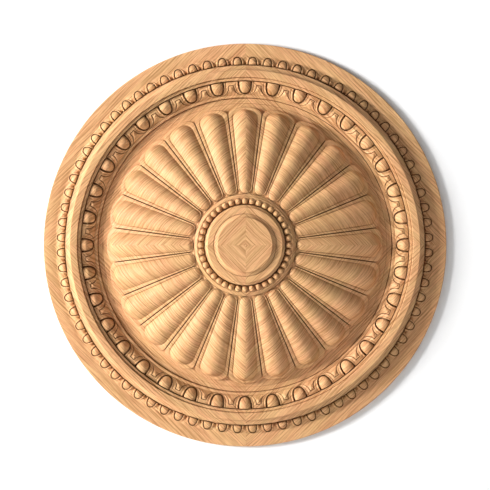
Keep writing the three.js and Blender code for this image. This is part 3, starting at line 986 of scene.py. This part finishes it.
def wood_material():
    material = bpy.data.materials.new("carved_wood")
    material.use_nodes = True
    nodes = Nodes(material)
    where, grain = grain_space(nodes)
    bands = nodes.grain_noise(grain, BAND_REPEATS)
    lines = nodes.grain_noise(grain, LINE_REPEATS)
    fine = nodes.grain_noise(grain, FINE_REPEATS, 2.0, 0.6)
    spacing = nodes.grain_noise(grain, SPACING_REPEATS, 2.0)
    boldness = nodes.grain_noise(grain, BOLDNESS_REPEATS)
    fibres = nodes.grain_noise(grain, FIBRE_REPEATS, 2.0, 0.6)
    tint = nodes.grain_noise(grain, TINT_REPEATS, 2.0)
    patches = nodes.noise(where, PATCH_REPEATS)
    across = nodes.add("ShaderNodeSeparateXYZ", {0: grain}).outputs["X"]
    shift = nodes.math("MULTIPLY", spacing, GROWTH_SHIFT)
    phase = nodes.math("MULTIPLY_ADD", across, 2 * math.pi / GROWTH_PITCH, shift)
    growth = nodes.spread(nodes.math("SINE", phase), 0.1, 0.95)
    growth = nodes.math("MULTIPLY", growth, nodes.spread(boldness, 0.38, 0.62, 0.15, 1.0))
    # Ambient occlusion drives painted shade: recesses are darkened in the colour and lose their gloss
    occlusion = nodes.add("ShaderNodeAmbientOcclusion", {"Distance": PAINTED_SHADE_REACH}, samples=PAINTED_SHADE_SAMPLES)
    painted_shade_ao = occlusion.outputs["AO"]
    colour = nodes.mix(nodes.spread(bands, 0.40, 0.60), DARK_WOOD, PALE_WOOD)
    hue = nodes.mix(nodes.spread(tint, 0.40, 0.60), YELLOW_WOOD, PINK_WOOD)
    colour = nodes.mix(HUE_STRENGTH, colour, hue)
    # Each layer over the ground colour: how much of it shows, and what colour it is
    layers = (
        (nodes.spread(lines, 0.55, 0.40, 0.0, 0.45), DARK_WOOD),
        (nodes.math("MULTIPLY", growth, GROWTH_STRENGTH), LINE_WOOD),
        (nodes.spread(fine, 0.50, 0.40, 0.0, 0.42), LINE_WOOD),
        (nodes.spread(fine, 0.50, 0.60, 0.0, 0.60), PALE_WOOD),
        (nodes.spread(fibres, 0.48, 0.66, 0.0, 0.50), DARK_WOOD),
        (nodes.spread(patches, 0.4, 0.65, 0.0, 0.16), DARK_WOOD),
        # Painted shade: dark colour laid into recesses where the occlusion is deep
        (nodes.spread(painted_shade_ao, 0.60, 0.20, 0.0, 0.92), PAINTED_RECESS_SHADE),
    )
    for share, layer_colour in layers:
        colour = nodes.mix(share, colour, layer_colour)
    roughness = nodes.spread(nodes.math("ADD", fine, fibres), 0.7, 1.3, 0.62, 0.5)
    relief = nodes.math("MULTIPLY", fibres, FIBRE_BUMP_SHARE)
    relief = nodes.math("ADD", relief, nodes.math("ADD", lines, fine))
    bump_inputs = {"Strength": BUMP_STRENGTH, "Distance": BUMP_DEPTH, "Height": relief}
    bump = nodes.add("ShaderNodeBump", bump_inputs)
    shader = nodes.add("ShaderNodeBsdfPrincipled", {
        "Base Color": colour,
        "Roughness": roughness,
        "Normal": bump.outputs[0],
        # Painted shade on the reflections: the gloss is turned down in recesses
        "Specular IOR Level": nodes.spread(painted_shade_ao, 0.2, 0.6, 0.0, 0.25),
    })
    nodes.add("ShaderNodeOutputMaterial", {"Surface": shader.outputs[0]})
    return material


# Studio
WALL_SIZE = 6.0
WALL_GAP = 0.0006
FLOOR_LEVEL = -0.45
HOLE_SIDES = 256
HOLE_OVERLAP = 1.5
PLAIN_GREY = (0.9, 0.9, 0.9)
PLAIN_ROUGHNESS = 0.9
PLAIN_GLOSS = 0.1
ROOM_LIGHT = (0.24, 0.24, 0.24, 1)
KEY_DISTANCE = 5.0
KEY_LIFT = math.radians(24.5)
KEY_TURN = math.radians(8)
KEY_SIZE = 1.5
KEY_POWER = 474
BACK_FILL_LIFT = 1.0


def plain_material(name, colour, roughness):
    material = bpy.data.materials.new(name)
    material.use_nodes = True
    shader = material.node_tree.nodes["Principled BSDF"]
    shader.inputs["Base Color"].default_value = (*colour, 1)
    shader.inputs["Roughness"].default_value = roughness
    shader.inputs["Specular IOR Level"].default_value = PLAIN_GLOSS
    return material


def stage_object(name, points, faces, material):
    mesh = bpy.data.meshes.new(name)
    mesh.from_pydata(points, [], faces)
    mesh.materials.append(material)
    made = bpy.data.objects.new(name, mesh)
    bpy.context.scene.collection.objects.link(made)
    return made


def wall(material):
    """A pale wall with an opening where the rosette covers it, so that its back shows from behind."""
    inner = (RIM_RADIUS - HOLE_OVERLAP) * MM
    half = WALL_SIZE / 2
    points, faces = [], []
    for i in range(HOLE_SIDES):
        turn = 2 * math.pi * i / HOLE_SIDES
        across, up = math.sin(turn), math.cos(turn)
        reach = half / max(abs(across), abs(up))
        points.append((inner * across, WALL_GAP, inner * up))
        points.append((reach * across, WALL_GAP, reach * up))
    for i in range(HOLE_SIDES):
        j = (i + 1) % HOLE_SIDES
        faces.append((2 * i, 2 * i + 1, 2 * j + 1, 2 * j))
    return stage_object("wall", points, faces, material)


def floor(material):
    corners = ((-1, -1), (1, -1), (1, 1), (-1, 1))
    points = [(WALL_SIZE * x, WALL_SIZE * y, FLOOR_LEVEL) for x, y in corners]
    return stage_object("floor", points, [(0, 1, 2, 3)], material)


def area_light(name, side, lift, forward, power, size):
    """A square lamp that faces the rosette; side is towards +X, forward towards the viewer."""
    light = bpy.data.lights.new(name, "AREA")
    light.energy = power
    light.size = size
    light.shape = "SQUARE"
    made = bpy.data.objects.new(name, light)
    made.location = (side, -forward, lift)
    made.rotation_euler = (-made.location).to_track_quat("-Z", "Y").to_euler()
    bpy.context.scene.collection.objects.link(made)
    return made


def studio():
    pale = plain_material("pale_wall", PLAIN_GREY, PLAIN_ROUGHNESS)
    wall(pale)
    floor(pale)
    reach = KEY_DISTANCE * math.cos(KEY_LIFT)
    forward = KEY_DISTANCE * math.sin(KEY_LIFT)
    side, lift = -reach * math.cos(KEY_TURN), reach * math.sin(KEY_TURN)
    area_light("key", side, lift, forward, KEY_POWER, KEY_SIZE)
    area_light("back_fill", side, lift + BACK_FILL_LIFT, -forward, KEY_POWER, KEY_SIZE)
    world = bpy.data.worlds.new("soft_room")
    world.use_nodes = True
    world.node_tree.nodes["Background"].inputs["Color"].default_value = ROOM_LIGHT
    bpy.context.scene.world = world
    bpy.context.scene.view_settings.view_transform = "Standard"


# Camera, straight on as in the photo
CAMERA_DISTANCE = 6.0
FAR_CLIP = 100
SENSOR = 36.0
PHOTO_SIDE = 490
RIM_PIXELS = 201.2
CENTRE_PIXELS = (245.01, 245.06)


def camera():
    data = bpy.data.cameras.new("camera")
    made = bpy.data.objects.new("camera", data)
    frame_width = PHOTO_SIDE * RIM_RADIUS * MM / RIM_PIXELS
    data.sensor_width = SENSOR
    data.lens = SENSOR * CAMERA_DISTANCE / frame_width
    data.clip_end = FAR_CLIP
    per_pixel = frame_width / PHOTO_SIDE
    side = -(CENTRE_PIXELS[0] - PHOTO_SIDE / 2) * per_pixel
    lift = (CENTRE_PIXELS[1] - PHOTO_SIDE / 2) * per_pixel
    made.location = (side, -CAMERA_DISTANCE, lift)
    made.rotation_euler = (math.pi / 2, 0, 0)
    bpy.context.scene.collection.objects.link(made)
    bpy.context.scene.camera = made


# The scene
SHARP_ANGLE = math.radians(38)

camera()
rosette = carve("rosette_carved")
rosette.data.materials.append(wood_material())
rosette.data.shade_smooth()
rosette.data.set_sharp_from_angle(angle=SHARP_ANGLE)
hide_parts("rosette")
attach(rosette, "root")
studio()
